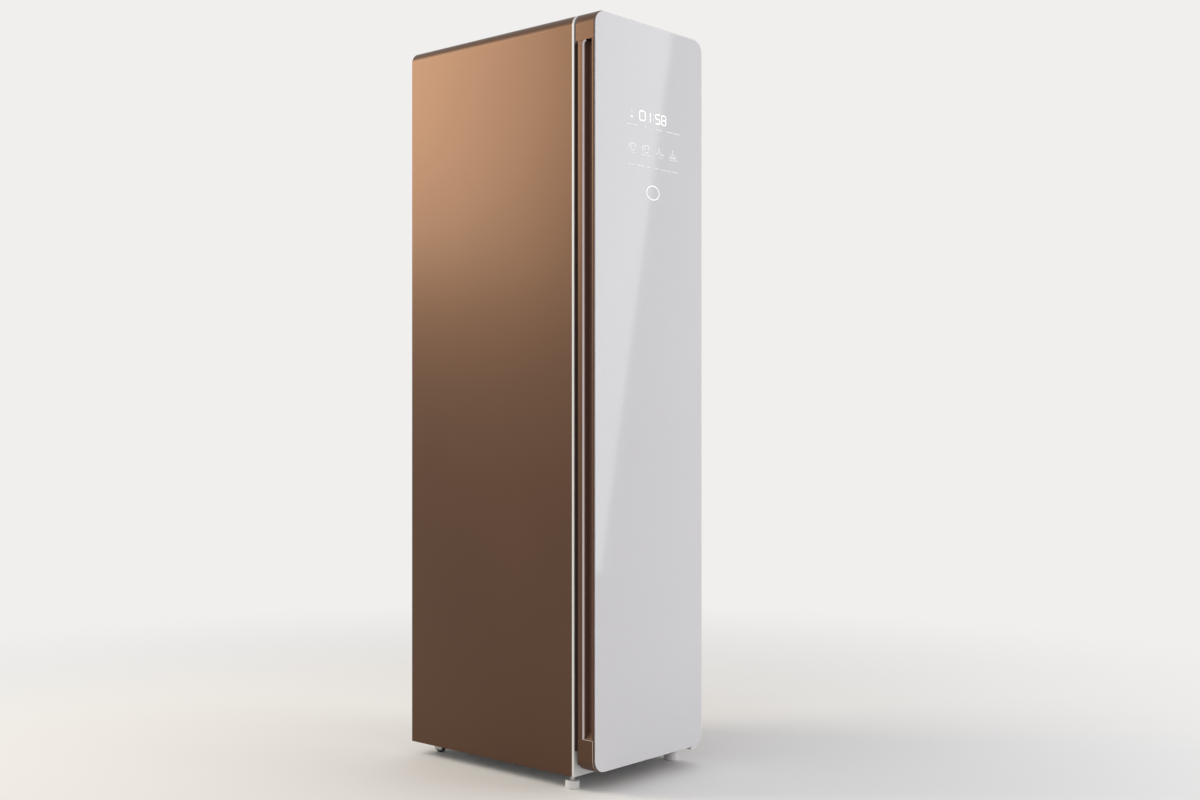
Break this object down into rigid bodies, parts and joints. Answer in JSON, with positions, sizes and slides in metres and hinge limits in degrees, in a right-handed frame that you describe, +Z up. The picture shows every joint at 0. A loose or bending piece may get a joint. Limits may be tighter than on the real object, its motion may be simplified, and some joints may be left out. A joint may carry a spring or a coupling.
{
  "type": "clothes care steam cabinet",
  "caption": "Tall floor-standing steam cabinet for clothes with a full-height glass door, side grip groove, moving hanger bar, trouser press and pull-out water tanks.",
  "frame": {"origin": "on the floor, under the middle of the whole cabinet", "axes": "+Z up; the glass door is the front and faces -Y; +X is to the right of someone who stands before the door, which is hinged on that side"},
  "size_m": [0.43, 0.63, 1.85],
  "materials": {
    "body_paint": "satin",
    "door_edge": "satin",
    "door_cap": "satin",
    "front_glass": "gloss",
    "white_plastic": "satin",
    "inner_plastic": "satin",
    "dark_plastic": "matte",
    "display_plastic": "satin",
    "bare_steel": "satin",
    "zinc_sheet": "satin",
    "black_metal": "satin",
    "cast_aluminium": "satin",
    "copper": "satin",
    "soft_rubber": "matte",
    "foam": "matte",
    "tank_plastic": "satin"
  },
  "bodies": {
    "cabinet": {"outer_wrap": "body_paint", "back_panel": "zinc_sheet", "panel_screws": "bare_steel", "base_pan": "zinc_sheet", "front_frame": "white_plastic", "chamber_liner": "inner_plastic", "side_insulation": "foam", "chamber_light": "display_plastic", "rear_floor_grille": "inner_plastic", "steam_nozzle": "inner_plastic", "tank_bay": "inner_plastic", "duct_housing": "inner_plastic", "evaporator": "cast_aluminium", "condenser": "cast_aluminium", "fan_housing": "dark_plastic", "fan_motor": "bare_steel", "compressor": "black_metal", "compressor_mounts": "soft_rubber", "refrigerant_pipes": "copper", "steam_generator": "bare_steel", "water_pump": "dark_plastic", "hoses": "soft_rubber", "control_box": "white_plastic", "power_inlet": "dark_plastic", "shaker_chassis": "zinc_sheet", "shaker_rails": "bare_steel", "shaker_motor": "bare_steel", "top_hinge": "bare_steel", "bottom_hinge": "bare_steel", "hinge_cover": "white_plastic", "roller_fork_left": "bare_steel", "roller_fork_right": "bare_steel"},
    "door": {"door_top_cap": "door_cap", "door_bottom_cap": "door_cap", "door_left_profile": "door_edge", "door_right_profile": "door_edge", "handle_channel": "dark_plastic", "glass_carrier": "dark_plastic", "glass_panel": "front_glass", "display_module": "display_plastic", "door_foam": "foam", "door_liner": "inner_plastic", "door_gasket": "soft_rubber", "press_pad": "soft_rubber", "hinge_bushes": "copper"},
    "press": {"press_board": "inner_plastic"},
    "hanger": {"hanger_bar": "cast_aluminium", "hanger_carriage": "cast_aluminium"},
    "crank": {"crank_disc": "bare_steel"},
    "fan": {"fan_wheel": "dark_plastic"},
    "water_tank": {"water_tank": "tank_plastic", "water_tank_lid": "white_plastic"},
    "drain_tank": {"drain_tank": "tank_plastic", "drain_tank_lid": "white_plastic"},
    "shelf": {"shelf_rack": "bare_steel"},
    "filter": {"lint_filter": "dark_plastic"},
    "front_foot_left": {"front_foot_left": "white_plastic"},
    "front_foot_right": {"front_foot_right": "white_plastic"},
    "rear_roller_left": {"rear_roller_left": "dark_plastic"},
    "rear_roller_right": {"rear_roller_right": "dark_plastic"}
  },
  "joints": [
    {"name": "door_swing", "type": "hinge", "parent": "cabinet", "child": "door", "pos_m": [0.203, -0.2828, 0], "axis": [0, 0, 1], "range_deg": [0, 110]},
    {"name": "press_swing", "type": "hinge", "parent": "door", "child": "press", "pos_m": [0.145, -0.2495, 0], "axis": [0, 0, -1], "range_deg": [0, 90]},
    {"name": "water_tank_slide", "type": "slide", "parent": "cabinet", "child": "water_tank", "axis": [0, -1, 0], "range_m": [0, 0.035]},
    {"name": "drain_tank_slide", "type": "slide", "parent": "cabinet", "child": "drain_tank", "axis": [0, -1, 0], "range_m": [0, 0.035]},
    {"name": "shelf_slide", "type": "slide", "parent": "cabinet", "child": "shelf", "axis": [0, -1, 0], "range_m": [0, 0.05]},
    {"name": "filter_lift", "type": "slide", "parent": "cabinet", "child": "filter", "axis": [0, 0, 1], "range_m": [0, 0.08]},
    {"name": "hanger_slide", "type": "slide", "parent": "cabinet", "child": "hanger", "axis": [1, 0, 0], "range_m": [-0.0078, 0.0078]},
    {"name": "crank_turn", "type": "hinge", "parent": "cabinet", "child": "crank", "pos_m": [0, 0.0035, 0], "axis": [0, 0, 1], "range_deg": [-40, 40]},
    {"name": "fan_spin", "type": "hinge", "parent": "cabinet", "child": "fan", "pos_m": [-0.068, 0.1, 0.3], "axis": [0, 1, 0], "continuous": true},
    {"name": "foot_left_turn", "type": "hinge", "parent": "cabinet", "child": "front_foot_left", "pos_m": [-0.193, -0.2275, 0], "axis": [0, 0, 1], "continuous": true},
    {"name": "roller_left_spin", "type": "hinge", "parent": "cabinet", "child": "rear_roller_left", "pos_m": [-0.15, 0.273, 0.014], "axis": [1, 0, 0], "continuous": true},
    {"name": "foot_right_turn", "type": "hinge", "parent": "cabinet", "child": "front_foot_right", "pos_m": [0.193, -0.2275, 0], "axis": [0, 0, 1], "continuous": true},
    {"name": "roller_right_spin", "type": "hinge", "parent": "cabinet", "child": "rear_roller_right", "pos_m": [0.15, 0.273, 0.014], "axis": [1, 0, 0], "continuous": true}
  ],
  "couplings": [
    {"joint": "crank_turn", "follows": "hanger_slide", "rad_per_m": 88.5}
  ]
}
